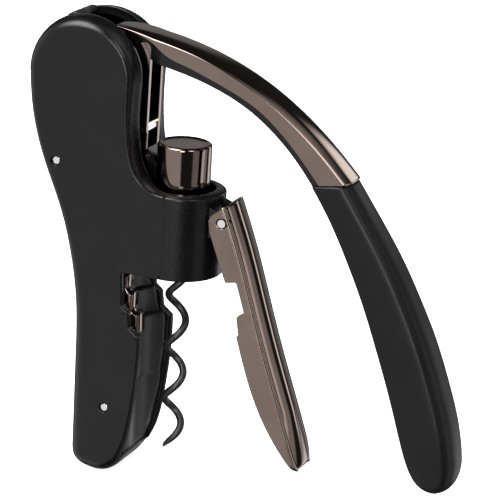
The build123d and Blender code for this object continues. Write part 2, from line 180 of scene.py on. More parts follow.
def plate(path, y, inset, holes=(), ties=(), hole_floor=None):
    """A closed slab from a closed side outline. Ring k of the rim lies at y[k] and is set in by inset[k];
    y falls from ring to ring, and the first and last rings are filled. `holes` are (x, z, radius) in the last,
    each a broken edge, a wall and a floor `hole_floor` deep. `ties` are pairs of outline points kept joined."""
    count = len(path)
    rings_of = (np.array(y, float), np.array(inset, float))
    y, inset = (a if a.ndim > 1 else np.repeat(a[:, None], count, 1) for a in rings_of)
    flat = path[None] + inward(path)[None] * inset[..., None]
    points = np.stack([flat[..., 0], y, flat[..., 1]], -1).reshape(-1, 3)
    rows = len(y)
    groups = [strips(rows, count)]
    groups.append(fill([flat[0]], ties)[:, ::-1])
    turn = np.linspace(0, 2 * np.pi, HOLE_STEPS, endpoint=False)
    circle = np.stack([np.cos(turn), 0 * turn, np.sin(turn)], 1)
    face_y = y[-1, 0]
    rings = [np.array([x, face_y, z]) + (r + GUARD) * circle for x, z, r in holes]
    last = fill([flat[-1]] + [ring[:, ::2] for ring in rings])
    base = len(points)
    at = base + HOLE_STEPS * len(holes)
    last_index = np.r_[np.arange(count) + (rows - 1) * count, np.arange(base, at)]
    groups.append(last_index[last])
    extra = list(rings)
    i = np.arange(HOLE_STEPS)
    j = (i + 1) % HOLE_STEPS
    for n, (x, z, r) in enumerate(holes):
        steps = ((r, 0), (r - 0.12, 0.12), (r - 0.15, 0.5), (r - 0.15, hole_floor))
        extra += [np.array([x, face_y + depth, z]) + size * circle for size, depth in steps]
        extra.append(np.array([[x, face_y + hole_floor, z]]))
        ring_at = [base + HOLE_STEPS * n] + [at + HOLE_STEPS * k for k in range(len(steps))]
        for low, high in zip(ring_at[:-1], ring_at[1:]):
            groups.append(np.stack([low + i, high + i, high + j, low + j], 1)[:, ::-1])
        bottom = at + HOLE_STEPS * len(steps)
        groups.append(np.stack([ring_at[-1] + i, ring_at[-1] + j, np.full(HOLE_STEPS, bottom)], 1))
        at = bottom + 1
    return np.vstack([points] + extra), groups


def lathe(profile, centre=(0, 0), start=0.0, stop=360.0, count=96):
    """A profile of (radius, height) turned about the vertical through `centre`; a part turn gets flat ends."""
    p = np.asarray(profile, float)
    full = abs(stop - start) >= 360
    a = np.radians(np.linspace(start, stop, count, endpoint=not full))
    x, y = centre[0] + p[:, :1] * np.cos(a), centre[1] + p[:, :1] * np.sin(a)
    points = np.stack([x, y, np.repeat(p[:, 1:], count, 1)], -1).reshape(-1, 3)
    groups = [strips(len(p), count, full)]
    if not full:
        loop = np.arange(len(p)) * count
        cap = fill([p])
        groups += [loop[cap], (loop + count - 1)[cap][:, ::-1]]
        i = np.arange(count - 1) + (len(p) - 1) * count
        groups.append(np.stack([i, i + 1, i + 1 - (len(p) - 1) * count, i - (len(p) - 1) * count], 1))
    return points, groups


def sweep_sections(sections):
    """Skin over a row of closed loops, (stations, points, 3), with each end drawn in to its middle."""
    s = np.asarray(sections, float)
    rows, count = s.shape[:2]
    points = np.vstack([s.reshape(-1, 3), s[0].mean(0), s[-1].mean(0)])
    i = np.arange(count)
    j = (i + 1) % count
    far = (rows - 1) * count
    first = np.stack([j, i, np.full(count, rows * count)], 1)
    final = np.stack([i + far, j + far, np.full(count, rows * count + 1)], 1)
    return points, [strips(rows, count), first, final]


def quarter(steps):
    """Sine and one-minus-cosine of angles up to a right angle: a rounded edge's width and depth."""
    a = np.radians(np.linspace(0, 90, steps))
    return np.sin(a), 1 - np.cos(a)


# ---- materials ----------------------------------------------------------------------------------


def colour(text):
    """An sRGB hex colour as linear red, green, blue, alpha."""
    srgb = np.array([int(text[i : i + 2], 16) for i in (1, 3, 5)]) / 255
    linear = np.where(srgb <= 0.04045, srgb / 12.92, ((srgb + 0.055) / 1.055) ** 2.4)
    return (*linear.tolist(), 1.0)


def add_node(tree, kind, settings=None, *values, **inputs):
    """Adds a node, sets its properties, and sets or links its inputs, by place or by name; a_b names 'a b'."""
    made = tree.nodes.new(kind)
    for key, value in (settings or {}).items():
        setattr(made, key, value)
    named = [(made.inputs[key.replace("_", " ")], value) for key, value in inputs.items()]
    for socket, value in list(zip(made.inputs, values)) + named:
        if isinstance(value, bpy.types.NodeSocket):
            tree.links.new(value, socket)
        else:
            socket.default_value = value
    return made


def surface(name, tones, roughness, grain, relief, patch=14.0, scratches=0.0, **shader):
    """A finish with real-scale detail: two tones in patches `patch` mm wide, roughness between two values,
    and grain `grain` mm wide standing `relief` mm high. `scratches` adds fine rubbed lines, in mm of depth.
    Real grain on these finishes is finer than 0.3 mm; it is drawn coarser where it wouldn't show."""
    made = bpy.data.materials.new(name)
    made.use_nodes = True
    tree = made.node_tree
    tree.nodes.clear()
    place = add_node(tree, "ShaderNodeTexCoord").outputs["Object"]
    broad = add_node(tree, "ShaderNodeTexNoise", Vector=place, Scale=1000 / patch, Detail=4.0, Roughness=0.6)
    fine = add_node(tree, "ShaderNodeTexNoise", Vector=place, Scale=1000 / grain, Detail=3.0, Roughness=0.55)
    tint = add_node(tree, "ShaderNodeValToRGB", Fac=broad.outputs["Fac"])
    tint.color_ramp.elements[0].position, tint.color_ramp.elements[1].position = 0.3, 0.7
    tint.color_ramp.elements[0].color, tint.color_ramp.elements[1].color = colour(tones[0]), colour(tones[1])
    mixed = add_node(tree, "ShaderNodeMath", {"operation": "ADD"}, broad.outputs["Fac"], fine.outputs["Fac"])
    rough = add_node(
        tree, "ShaderNodeMapRange", Value=mixed.outputs[0], From_Min=0.7, From_Max=1.3, To_Min=roughness[0],
        To_Max=roughness[1],
    )
    bump = add_node(tree, "ShaderNodeBump", Height=fine.outputs["Fac"], Strength=1.0, Distance=relief * 0.001)
    normal = bump.outputs["Normal"]
    if scratches:
        stretched = add_node(
            tree, "ShaderNodeMapping", Vector=place, Scale=(60.0, 2200.0, 60.0), Rotation=(0.3, 0.2, 0.5),
        )
        lines = add_node(tree, "ShaderNodeTexNoise", Vector=stretched.outputs["Vector"], Scale=1.0, Detail=2.0)
        rub = add_node(
            tree, "ShaderNodeBump", Height=lines.outputs["Fac"], Strength=1.0, Distance=scratches * 0.001,
            Normal=normal,
        )
        normal = rub.outputs["Normal"]
    skin = add_node(
        tree, "ShaderNodeBsdfPrincipled", Base_Color=tint.outputs["Color"],
        Roughness=rough.outputs["Result"], Normal=normal, **shader,
    )
    add_node(tree, "ShaderNodeOutputMaterial", Surface=skin.outputs["BSDF"])
    return made


# Zinc die casting under a satin black baked lacquer: near-black, soft wide highlights, faint orange peel.
SATIN_LACQUER = surface(
    "satin_black_lacquer_on_zinc", ("#050506", "#080809"), (0.25, 0.30), 0.9, 0.0007,
    Specular_IOR_Level=0.34,
)
# Black-nickel plate over polished zinc: a warm brown-grey mirror with faint polishing lines.
BLACK_NICKEL = surface(
    "black_nickel_plate", ("#85766d", "#8e7f76"), (0.05, 0.10), 2.2, 0.0015, scratches=0.0005, Metallic=1.0,
)
# Soft-touch elastomer paint on moulded ABS: dull, very fine matt grain.
SOFT_TOUCH = surface(
    "soft_touch_coated_abs", ("#060607", "#08080a"), (0.34, 0.42), 0.35, 0.003, Specular_IOR_Level=0.24,
)
# Glass-filled nylon, moulded against a spark-eroded tool: black with a fine even texture.
BLACK_NYLON = surface(
    "moulded_black_nylon", ("#141415", "#1a1a1b"), (0.30, 0.40), 0.45, 0.009, Specular_IOR_Level=0.45,
)
# Non-stick fluoropolymer baked on steel wire: dark grey-black, waxy, slightly speckled.
NON_STICK = surface(
    "non_stick_coated_steel_wire", ("#0f0f10", "#161617"), (0.30, 0.42), 0.5, 0.006, patch=3.0,
    Specular_IOR_Level=0.55,
)
# Ground and polished steel pin stock.
PIN_STEEL = surface(
    "polished_pin_steel", ("#f0f0ee", "#f7f7f5"), (0.12, 0.2), 0.6, 0.001, scratches=0.0008, Metallic=1.0,
)
# Sintered bronze, oil-filled.
BRONZE = surface("sintered_bronze", ("#a5793f", "#b4874a"), (0.28, 0.4), 0.25, 0.006, Metallic=1.0)

FINISHES = {
    "housing_paint": SATIN_LACQUER,
    "black_plastic": BLACK_NYLON,
    "polished_steel": PIN_STEEL,
    "black_nickel": BLACK_NICKEL,
    "bronze": BRONZE,
    "nonstick_coating": NON_STICK,
    "soft_touch_plastic": SOFT_TOUCH,
}
for part in frame["record"]["subparts"]:
    node = frame["nodes"][part["node"]]
    node.data.materials.clear()
    node.data.materials.append(FINISHES[part["material_slot"]])


# ---- casting ------------------------------------------------------------------------------------

HALF = 16.0  # the casting's half width and the collar's radius
BORE = 12.0
HEAD = np.array([-36.0, 38.5])
HEAD_R = 22.0
UPPER_PIN, LOWER_PIN = (-44.0, 6.2), (-21.0, -85.6)

# The side outline, anticlockwise from the collar's top. Columns: x, z, how far the rim is set in at the
# side face, how far out (in y) the rim starts to turn, and 1 where the inner edge is free.
angle = np.radians(np.linspace(0, 180, 120))
turn_over = np.interp(np.degrees(angle), [0, 30, 60, 90, 130, 180], [3.3, 3.2, 3.8, 4.8, 5.4, 5.0])
head_arc = np.stack([
    HEAD[0] + HEAD_R * np.cos(angle), HEAD[1] + HEAD_R * np.sin(angle), turn_over, np.full(120, 8.0),
    (np.degrees(angle) < 105).astype(float),
], 1)
front = run(
    [
        (0, 0, 1.3, 12, 1), (-4.4, 0.7, 1.3, 10.9, 1), (-8.2, 2.8, 1.5, 8.8, 1), (-11.4, 6.6, 1.8, 8, 1),
        (-13.3, 12.0, 2.0, 8, 1), (-14.3, 20, 2.2, 8, 1), (-14.4, 29, 2.9, 8, 1), (-14.0, 38.5, 3.3, 8, 1),
    ], 90
)
back = run(
    [
        (-58.0, 38.5, 5, 8, 0), (-56.6, 25, 4.4, 8, 0), (-51, 5, 4.2, 8, 0), (-43.6, -13, 4.4, 8, 0),
        (-38.8, -31, 5, 8, 0), (-36.5, -47, 5.6, 8, 0), (-36, -62, 6, 8, 0),
    ], 120
)
leg_back = run([(-36, -62, 6, 8, 0), (-36, -104, 6, 8, 0)], 40, straight=True)
leg_foot = run(
    [
        (-36, -104, 6, 8, 0), (-35.4, -108, 6.2, 7.5, 0), (-32.6, -111.2, 6.4, 7, 0),
        (-27.8, -112.7, 6.4, 6.5, 0), (-23.5, -112.9, 6, 7, 0), (-18.6, -110.8, 5, 8, 0),
        (-15.4, -107, 3.6, 10.5, 0),
    ], 60
)
leg_front = run(
    [
        (-15.4, -107, 3.6, 12.9, 1), (-12.6, -101, 2.6, 12.9, 1), (-10.0, -89, 1.7, 13.3, 1),
        (-8.6, -76, 1.2, 14.0, 1), (-8.0, -66, 1.0, 14.5, 1), (-8.0, -57, 0.9, 14.8, 1),
    ], 80
)
window = run(
    [
        (-8.0, -57, 1.0, 14.6, 1), (-8.15, -55.7, 0.7, 15.1, 1), (-12.0, -52.6, 0.7, 15.1, 1),
        (-12.8, -46.6, 0.7, 15.1, 1), (-15.4, -44.6, 0.7, 15.1, 1), (-15.8, -32.45, 0.7, 15.1, 1),
    ], 110, straight=True
)
under_collar = run(
    [(-15.75, -32.0, 0.7, 15.2, 1), (-1.5, -32.0, 0.7, 15.2, 1), (0, -32.0, 0.7, 15.2, 1)], 40,
    straight=True,
)
inside_collar = run(
    [(0, -32, 0.0, 15.2, 0), (0, -31, 0.0, 15.2, 0), (0, -2, 0.0, 12, 0), (0, 0, 0.0, 12, 0)], 30,
    straight=True,
)
side = join(front, head_arc, back, leg_back, leg_foot, leg_front, window, under_collar, inside_collar)
outline, set_in, starts, free = side[:, :2], side[:, 2], side[:, 3], side[:, 4]

# The wall's inner face: the slot above, the bore beside the collar, the wider channel in the leg.
inner = np.where(outline[:, 1] < -32.3, 12.9, 8.0)
beside_bore = (outline[:, 0] > -8.9) & (outline[:, 1] > -32.3)
inner = np.where(beside_bore, np.sqrt(np.maximum(BORE**2 - outline[:, 0] ** 2, 64)), inner)
starts = np.where(free > 0.5, np.maximum(starts, inner), starts)
eased = np.interp(-outline[:, 1], [55.5, 58, 98, 107], [0.45, 1.5, 1.5, 0.6])  # the neck's bowl cuts in here
edge = np.where(free > 0.5, eased, 0.02)  # the broken inner edge


def turned_in(y):
    """How far the rim lies inside the outline at a distance y from the middle: a quarter of an ellipse."""
    return set_in * (1 - np.sqrt(1 - np.clip((y - starts) / (HALF - starts), 0, 1) ** 2))


across, down = quarter(13)
rows_y = [inner, inner, inner + 0.3 * edge]
rows_in = [turned_in(inner) + edge * 1.3, turned_in(inner) + edge, turned_in(inner + 0.3 * edge) + 0.3 * edge]
lead = np.arcsin(np.clip((inner + edge - starts) / (HALF - starts), 0, 1))
for share in np.linspace(0, 1, 14):
    y_here = np.maximum(inner + edge, starts + (HALF - starts) * np.sin(lead + (np.pi / 2 - lead) * share))
    rows_y.append(y_here)
    rows_in.append(turned_in(y_here))
for more in (0.25, 0.55, 0.9):  # flat bands that keep the rim's rounding off the side face
    rows_y.append(np.full_like(inner, HALF))
    rows_in.append(set_in + more)
rows_y = -np.minimum(np.array(rows_y), HALF)
low_corner = np.argmin(np.abs(outline[:, 0] + 15.8) + np.abs(outline[:, 1] + 32.45))
behind = np.argmin(np.abs(outline[:, 0] + 38.6) + np.abs(outline[:, 1] + 32.3))
wall = plate(
    outline, rows_y, np.array(rows_in),
    holes=[(*UPPER_PIN, 2.0), (*LOWER_PIN, 2.0)], hole_floor=1.6, ties=[(low_corner, behind)],
)
piece(
    "casting_side_walls", [wall, mirrored(wall)], "housing", ["housing_shell"],
    SATIN_LACQUER,
)


def web(path, widths, y_half, thick):
    """The skin between the walls: outer points follow the outline and turn over with the walls' rim; the inner
    ones are `thick` inside it. Each cross-section is a closed loop, carried along the outline."""
    beyond = (40, 0)  # closes the loop well clear of the outline
    normal = inward(np.vstack([path, path[-1] + beyond, path[0] + beyond]))[: len(path)]
    share = np.linspace(-1, 1, 41)
    y = y_half[:, None] * share[None]
    over = np.clip((np.abs(y) - 8) / (HALF - 8), 0, 1)
    depth = widths[:, None] * (1 - np.sqrt(1 - over**2))
    outer = path[:, None] + normal[:, None] * depth[..., None]
    inner_line = path[:, None] + normal[:, None] * (thick + 0 * depth)[..., None]
    out3 = np.stack([outer[..., 0], y, outer[..., 1]], -1)
    in3 = np.stack([inner_line[..., 0], y, inner_line[..., 1]], -1)[:, ::-1]
    return sweep_sections(np.concatenate([out3, in3], 1))


from_slot = head_arc[np.degrees(angle) >= 105.8]
spine = join(from_slot, back, leg_back, leg_foot)
spine_half = np.interp(-spine[:, 1], [31.0, 33.0], [8.0, 12.9])
piece(
    "casting_back_web", [web(spine[:, :2], spine[:, 2], spine_half, 2.3)], "housing", ["housing_shell"],
    SATIN_LACQUER,
)

# The collar: a ring with a crowned rim, turned about the worm's axis.
rim_r, rim_z = BORE + 0.45 + (HALF - BORE - 0.45) * across, -1.3 * down
foot_r, foot_z = HALF - 0.7 + 0.7 * across[::-1], -32 + 0.7 * (1 - np.cos(np.arcsin(across[::-1])))
collar_profile = np.vstack([
    np.stack([rim_r, rim_z], 1), [(HALF, -1.6), (HALF, -30.9)], np.stack([foot_r, foot_z], 1),
    [
        (15.0, -32), (8.6, -32), (8.1, -31.8), (8.0, -31.4), (8.0, -29), (BORE, -29), (BORE, -1.0),
        (BORE, -0.45), (BORE + 0.14, -0.12),
    ],
])
collar = lathe(collar_profile[::-1], start=-140, stop=140, count=140)
piece("casting_collar", [collar], "housing", ["housing_shell"], SATIN_LACQUER)

# The floor under the slot, and the two ears that carry the clamp lever.
floor = run([(-38.4, -32), (-10.0, -32), (-10.0, -27), (-38.0, -27), (-38.4, -32)], 60, straight=True)[:-1]
slot_floor = plate(floor, [8.3, -8.3], [0, 0])
ear_turn = np.radians(np.linspace(-75, 85, 20))
ear_nose = np.stack([19.6 + 2.8 * np.cos(ear_turn), -9.0 + 2.8 * np.sin(ear_turn)], 1)
ear_line = np.vstack(
    [ear_nose, run([(19.0, -6.2), (12.5, -3.6), (12.5, -17.0), (19.6, -11.9)], 30, straight=True)]
)
ear = plate(ear_line, [-4.2, -4.2, -4.45, -7.35, -7.6, -7.6], [0.6, 0.25, 0, 0, 0.25, 0.6])
piece(
    "casting_floor_and_ears", [slot_floor, ear, mirrored(ear)], "housing", ["housing_shell"],
    SATIN_LACQUER,
)

# Neck cradle: its front follows the leg's front edge, hollowed about the worm's axis in steps of radius.
level = np.r_[
    np.linspace(-32.2, -44.3, 14), np.linspace(-44.45, -44.9, 4), np.linspace(-45.1, -53.6, 12),
    np.linspace(-53.8, -54.5, 5), np.linspace(-54.8, -77.6, 24), np.linspace(-77.75, -78.2, 4),
    np.linspace(-78.5, -109.2, 50),
]
hollow = np.interp(-level, [44.4, 45.0, 53.7, 54.6, 77.7, 78.3], [20.6, 18.2, 18.2, 15.0, 15.0, 16.2])
front_edge = np.interp(
    -level, [32, 43.0, 44.7, 46.2, 51.9, 53.4, 56.2, 68, 84, 99.5, 105.5, 109.2],
    [-17.2, -17.2, -15.0, -14.2, -13.6, -11.0, -10.0, -10.0, -11.4, -14.0, -16.3, -18.2],
)
rear_edge = np.interp(-level, [32, 37.5, 105.9, 109.4], [-31.9, -33.9, -33.9, -24.2])
cradle_y = np.r_[-12.85, -12.8, -12.6, -12.3, np.linspace(-11.8, 11.8, 45), 12.3, 12.6, 12.8, 12.85]
soften = np.interp(np.abs(cradle_y), [12.3, 12.6, 12.8, 12.85], [0, 0.06, 0.22, 0.5])
bowl = -np.sqrt(np.maximum(hollow[:, None] ** 2 - cradle_y[None] ** 2, 0))
front_x = np.minimum(front_edge[:, None], bowl) - soften[None]
front_row = np.stack(
    [front_x, np.repeat(cradle_y[None], len(level), 0), np.repeat(level[:, None], len(cradle_y), 1)], -1,
)
rear_row = front_row[:, ::-1].copy()
rear_row[..., 0] = rear_edge[:, None]
cradle = sweep_sections(np.concatenate([front_row, rear_row], 1))
piece("neck_cradle_moulding", [cradle], "housing", ["neck_cradle"], BLACK_NYLON)

# Stop plate: a comb of three leaning steps beside the near wall, with bright pressed faces.
teeth = [
    (-24.0, -59.0), (-12.0, -59.0), (-10.2, -55.5), (-10.4, -48.6), (-12.4, -47.9), (-13.3, -46.6),
    (-13.2, -41.0), (-14.6, -40.2), (-15.4, -38.8), (-15.2, -34.0), (-24.0, -34.0),
]
tooth_line = run(np.array(teeth + teeth[:1]), 220, straight=True)[:-1]
stop_plate = plate(tooth_line, [-5.8, -5.8, -6.05, -12.2, -12.5, -12.5], [0.6, 0.3, 0, 0, 0.3, 0.6])
comb_back = run(
    [(-24.0, -59.0), (-20.0, -59.0), (-20.0, -34.0), (-24.0, -34.0), (-24.0, -59.0)], 60, straight=True,
)[:-1]
back_plate = plate(comb_back, [2.45, 2.45, 2.2, -8.0, -8.2, -8.2], [0.5, 0.25, 0, 0, 0.25, 0.5])
piece("neck_stop_teeth", [stop_plate, back_plate], "housing", ["neck_stop_plate"], BLACK_NICKEL)

# Slot bumper: a low block with bevelled ends at the rear of the head's slot.
bump_line = run(
    [(-40.6, 58.2), (-41.4, 60.1), (-43.2, 60.1), (-44.9, 59.1), (-45.3, 57.0), (-40.6, 58.2)], 60,
    straight=True,
)[:-1]
bumper = plate(bump_line, [7.9, 7.9, 7.6, -7.6, -7.9, -7.9], [0.4, 0.3, 0, 0, 0.3, 0.4])
piece("slot_rear_bumper", [bumper], "housing", ["slot_bumper"], BLACK_NYLON)

# Cross pins: turned about y, with a bright flat end inside a dark countersink.
pin_profile = np.array([
    (0.0, -15.5), (0.7, -15.5), (1.3, -15.5), (1.36, -15.47), (1.5, -15.2), (1.52, -14.0), (1.52, 14.0),
    (1.5, 15.2), (1.36, 15.47), (1.3, 15.5), (0.7, 15.5), (0.0, 15.5),
])
for name, spot in (("upper_cross_pin", UPPER_PIN), ("lower_cross_pin", LOWER_PIN)):
    points, groups = lathe(pin_profile[::-1], count=48)
    points = np.stack([points[:, 0] + spot[0], points[:, 2], points[:, 1] + spot[1]], 1)
    piece(name + "_stock", [(points, groups)], "housing", [name], PIN_STEEL)


# ---- lever --------------------------------------------------------------------------------------


def arch(top, under, half, crown):
    """A bar between a top line and an underside line. Each cross-section has flat sides, a chamfer at the
    top's edges and a low crown; `crown` gives (share of half width, drop in mm) from the middle outwards."""
    across_line = under - top
    height = np.linalg.norm(across_line, axis=1)
    down_way = across_line / height[:, None]
    share = np.array([c[0] for c in crown] + [1.0, 1.0, 1.0, 0.985, 0.94, 0.6, 0.0])
    drops = np.array([c[1] for c in crown])
    last = drops[-1]
    fit = np.minimum(1.0, 0.8 * height / (last + 0.8))[:, None]
    tops = drops[None] * fit
    rest = height[:, None] - tops[:, -1:]
    sides = tops[:, -1:] + rest * np.array([0.12, 0.5])[None]
    near_foot = np.minimum(0.3, 0.2 * rest)
    feet = np.hstack([
        height[:, None] - 1.2 * near_foot, height[:, None] - 0.35 * near_foot, height[:, None],
        height[:, None], height[:, None],
    ])
    depth = np.hstack([tops, sides, feet])
    y = half[:, None] * share[None]
    loop_y = np.hstack([-y[:, ::-1], y[:, 1:-1]])
    loop_d = np.hstack([depth[:, ::-1], depth[:, 1:-1]])
    flat = top[:, None] + down_way[:, None] * loop_d[..., None]
    return np.stack([flat[..., 0], loop_y, flat[..., 1]], -1)


LEVER_CROWN = [
    (0, 0), (0.3, 0.03), (0.5, 0.12), (0.555, 0.18), (0.575, 0.22), (0.62, 0.32), (0.9, 1.15), (0.94, 1.3),
    (0.975, 1.5), (0.995, 1.8),
]
cover_top = smooth_line([
    (-27.0, 57.2), (-20, 56.7), (-10, 55.4), (0, 53.4), (12, 49.9), (24, 44.9), (36, 38.2), (47, 30.4),
    (57.5, 21.4), (66.5, 12.4),
], 160)
cover_under = smooth_line([
    (-27.0, 56.5), (-22, 55.9), (-16.5, 54.6), (-11.6, 52.6), (-8.0, 50.0), (-4.2, 47.9), (1.7, 46.1),
    (11.2, 42.9), (21.8, 38.8), (31.1, 34), (41.1, 25.9), (48.9, 17.8), (55.2, 10.4),
], 160)
cover_half = np.interp(cover_top[:, 0], [-27, -22, -14, -6, 70], [5.4, 6.6, 7.4, 7.7, 7.7])
cover = sweep_sections(arch(cover_top, cover_under, cover_half, LEVER_CROWN))
piece("lever_cover_shell", [cover], "lever", ["lever_cover"], BLACK_NICKEL)

core_top = smooth_line([
    (-26.6, 56.4), (-20, 55.6), (-10, 53.4), (0, 50.6), (12, 46.4), (24, 41.4), (36, 34.4), (47, 25.4),
    (57.5, 14.4), (61.5, 10.6),
], 140)
core_under = smooth_line([
    (-25.6, 55.2), (-22, 53.2), (-18, 50.2), (-14, 47.3), (-10.2, 45.5), (-7.4, 44.9), (4.3, 42.5),
    (14.8, 39.3), (27.6, 33.4), (39, 25), (46.7, 17.3), (52.6, 10.0),
], 140)
core_half = np.interp(core_top[:, 0], [-27, -12, -6, 2, 70], [4.1, 5.2, 7.0, 7.4, 7.4])
core = sweep_sections(arch(core_top, core_under, core_half, [(0, 0), (0.5, 0.05), (0.9, 0.3), (0.99, 0.7)]))
piece("lever_core_casting", [core], "lever", ["lever_core"], SATIN_LACQUER)

# Grip: the same section, growing wider and rounder to a blunt end.
grip_top = smooth_line([
    (66.45, 11.7), (76.4, -2.3), (85.3, -15.7), (92.9, -29.4), (99.7, -43.3), (105.3, -57.5),
    (110.0, -71.8), (112.2, -82), (112.7, -89), (110.6, -94.8), (105.2, -98.4),
], 170)
grip_under = smooth_line([
    (52.7, 9.8), (59.9, -0.8), (67.3, -14.0), (74.3, -28.2), (80.6, -43.3), (86.0, -57.5), (90.9, -71.8),
    (94.2, -82), (96.8, -89), (100.2, -94.8), (104.8, -98.45),
], 170)
along = np.linspace(0, 1, 170)
ending = np.sqrt(np.clip(1 - ((along - 0.80) / 0.20).clip(0, 1) ** 2.4, 0.0009, 1))
grip_half = np.interp(along, [0, 0.2, 0.5, 0.75, 1], [7.95, 8.6, 9.6, 9.9, 9.4]) * ending
GRIP_CROWN = [
    (0, 0), (0.25, 0.06), (0.45, 0.25), (0.6, 0.55), (0.72, 0.95), (0.82, 1.45), (0.9, 2.05), (0.96, 2.85),
    (0.99, 3.8),
]
grip_sections = arch(grip_top, grip_under, grip_half, GRIP_CROWN)
piece(
    "lever_grip_moulding", [sweep_sections(grip_sections)], "lever", ["lever_grip"],
    SOFT_TOUCH,
)

# ---- clamp lever --------------------------------------------------------------------------------

clamp_front = smooth_line(
    [(20.0, -3.0), (25.9, -18.0), (32.6, -38.0), (38.3, -55.3), (44.9, -73.7), (50.2, -88.5), (53.6, -98.6)],
    120,
)
along_front = np.gradient(clamp_front, axis=0)
clamp_out = np.stack([-along_front[:, 1], along_front[:, 0]], 1) / np.linalg.norm(along_front, axis=1)[:, None]
flange_edge = np.vstack([
    run([
        (19.6, -3.4), (18.6, -4.0), (15.2, -6.8), (14.4, -8.6), (15.1, -13.1), (22.2, -30.9), (26.5, -30.1),
        (30.1, -40.9), (28, -42.4), (27.3, -43.3), (28.4, -49.7), (27.7, -50.6),
    ], 110, straight=True),
    run([
        (27.7, -50.6), (34.3, -69.8), (41.5, -84), (47.6, -92.9), (50.0, -96.6), (51.8, -98.9),
        (53.4, -99.4), (54.0, -98.9),
    ], 60)[1:],
    (clamp_front - clamp_out * 0.55)[::-1][3:-1],
])
flange = plate(
    flange_edge[:, :2], [-7.9, -7.9, -8.1, -9.0, -9.15, -9.2, -9.2], [0.5, 0.2, 0, 0, 0.05, 0.2, 0.5],
    holes=[(19.6, -9.0, 2.1)], hole_floor=0.9,
)
fade = np.sqrt(np.clip((120 - np.arange(120)) / 26, 0, 1))[:, None]
bulge = np.linspace(-1, 1, 25)
rib_y = np.r_[-9.16, -9.05, -8.7, -8.2, 7.4 * bulge, 8.2, 8.7, 9.05, 9.16]
rib_out = np.r_[-0.3, 0.0, 0.1, 0.0, -0.1 + 1.7 * (1 - bulge**2), 0.0, 0.1, 0.0, -0.3]
outer = clamp_front[:, None] + clamp_out[:, None] * (rib_out[None] * fade)[..., None]
inside = clamp_front[:, None] - clamp_out[:, None] * np.full((1, len(rib_y), 1), 1.3)
front_out = np.stack([outer[..., 0], np.repeat(rib_y[None], 120, 0), outer[..., 1]], -1)
front_in = np.stack([inside[..., 0], np.repeat(rib_y[None], 120, 0), inside[..., 1]], -1)[:, ::-1]
crown = sweep_sections(np.concatenate([front_out, front_in], 1)[:, ::-1])


def narrowed(part):
    """The clamp lever's tip: the width closes in along a quarter of an ellipse over the last 9 mm."""
    points, groups = part
    late = np.clip((-points[:, 2] - 88.0) / 11.6, 0, 1)
    return points * np.stack([late * 0 + 1, 0.5 + 0.5 * np.sqrt(1 - late**2), late * 0 + 1], 1), groups


piece(
    "clamp_lever_pressing", [narrowed(flange), narrowed(mirrored(flange)), narrowed(crown)], "clamp",
    ["clamp_lever"], BLACK_NICKEL,
)

# ---- worm and knob ------------------------------------------------------------------------------

# The worm: a round wire along a helix, its radius drawn down to a sharp tip.
PITCH = 20.4
COIL_ANGLE, COIL_ANGLE_Z = 21.8, -72.5  # the wire's centre is at this angle at this height
height = np.r_[np.linspace(-18.5, -94.0, 420), np.linspace(-94.2, -102.2, 60)]
spin = np.radians(COIL_ANGLE + 360 * (height - COIL_ANGLE_Z) / PITCH)
coil_r = np.interp(height, [-102.2, -98, -95], [2.9, 3.25, 3.35])
line = np.stack([coil_r * np.cos(spin), coil_r * np.sin(spin), height], 1)
ahead = np.gradient(line, axis=0)
ahead /= np.linalg.norm(ahead, axis=1)[:, None]
out = np.stack([np.cos(spin), np.sin(spin), 0 * spin], 1)
out -= (out * ahead).sum(1)[:, None] * ahead
out /= np.linalg.norm(out, axis=1)[:, None]
side_way = np.cross(ahead, out)
wire_r = np.interp(height, [-102.2, -101.9, -100.6, -98.5, -95.5], [0.12, 0.35, 0.75, 1.15, 1.4])
ring = np.radians(np.linspace(0, 360, 20, endpoint=False))
wire = line[:, None] + wire_r[:, None, None] * (
    np.cos(ring)[None, :, None] * out[:, None] + np.sin(ring)[None, :, None] * side_way[:, None]
)
shank = lathe(np.array([
    (0, -20.0), (3.9, -20.0), (4.4, -19.8), (4.6, -19.4), (4.6, 6.0), (6.2, 6.0), (6.4, 6.2), (6.4, 7.8),
    (6.2, 8.0), (3.0, 8.0), (3.0, 11.8), (2.8, 12.0), (0, 12.0),
]), count=64)
piece("worm_wire", [sweep_sections(wire), shank], "worm", ["worm"], NON_STICK)

# The knob: a slightly domed top, rolled edge and straight skirt, turned about the worm's axis.
roll_r, roll_z = 8.7 + 1.3 * across, 15.3 + 1.0 * (1 - down)
knob_profile = np.vstack([
    [(0, 15.8), (4.0, 15.8), (7.0, 15.82), (7.6, 15.9), (8.1, 16.1), (8.45, 16.25), (8.6, 16.3)],
    np.stack([roll_r, roll_z], 1),
    [(10.0, 14.9), (10.0, -1.4), (9.9, -1.75), (9.6, -1.95), (8.9, -2.0), (8.9, -1.5), (8.9, 14.6), (0, 14.6)],
])
knob = lathe(knob_profile[::-1], count=128)
piece("knob_cap_turned", [knob], "carriage", ["knob_cap"], BLACK_NICKEL)
ring_profile = np.array([
    (8.9, -2.0), (8.9, -4.0), (10.7, -4.0), (10.95, -3.8), (11.0, -3.5), (11.0, -2.6), (10.93, -2.25),
    (10.7, -2.05), (10.4, -2.0), (8.9, -2.0),
])
piece(
    "knob_ring_turned", [lathe(ring_profile, count=128)], "carriage", ["knob_ring"],
    BLACK_NICKEL,
)

# ---- studio -------------------------------------------------------------------------------------

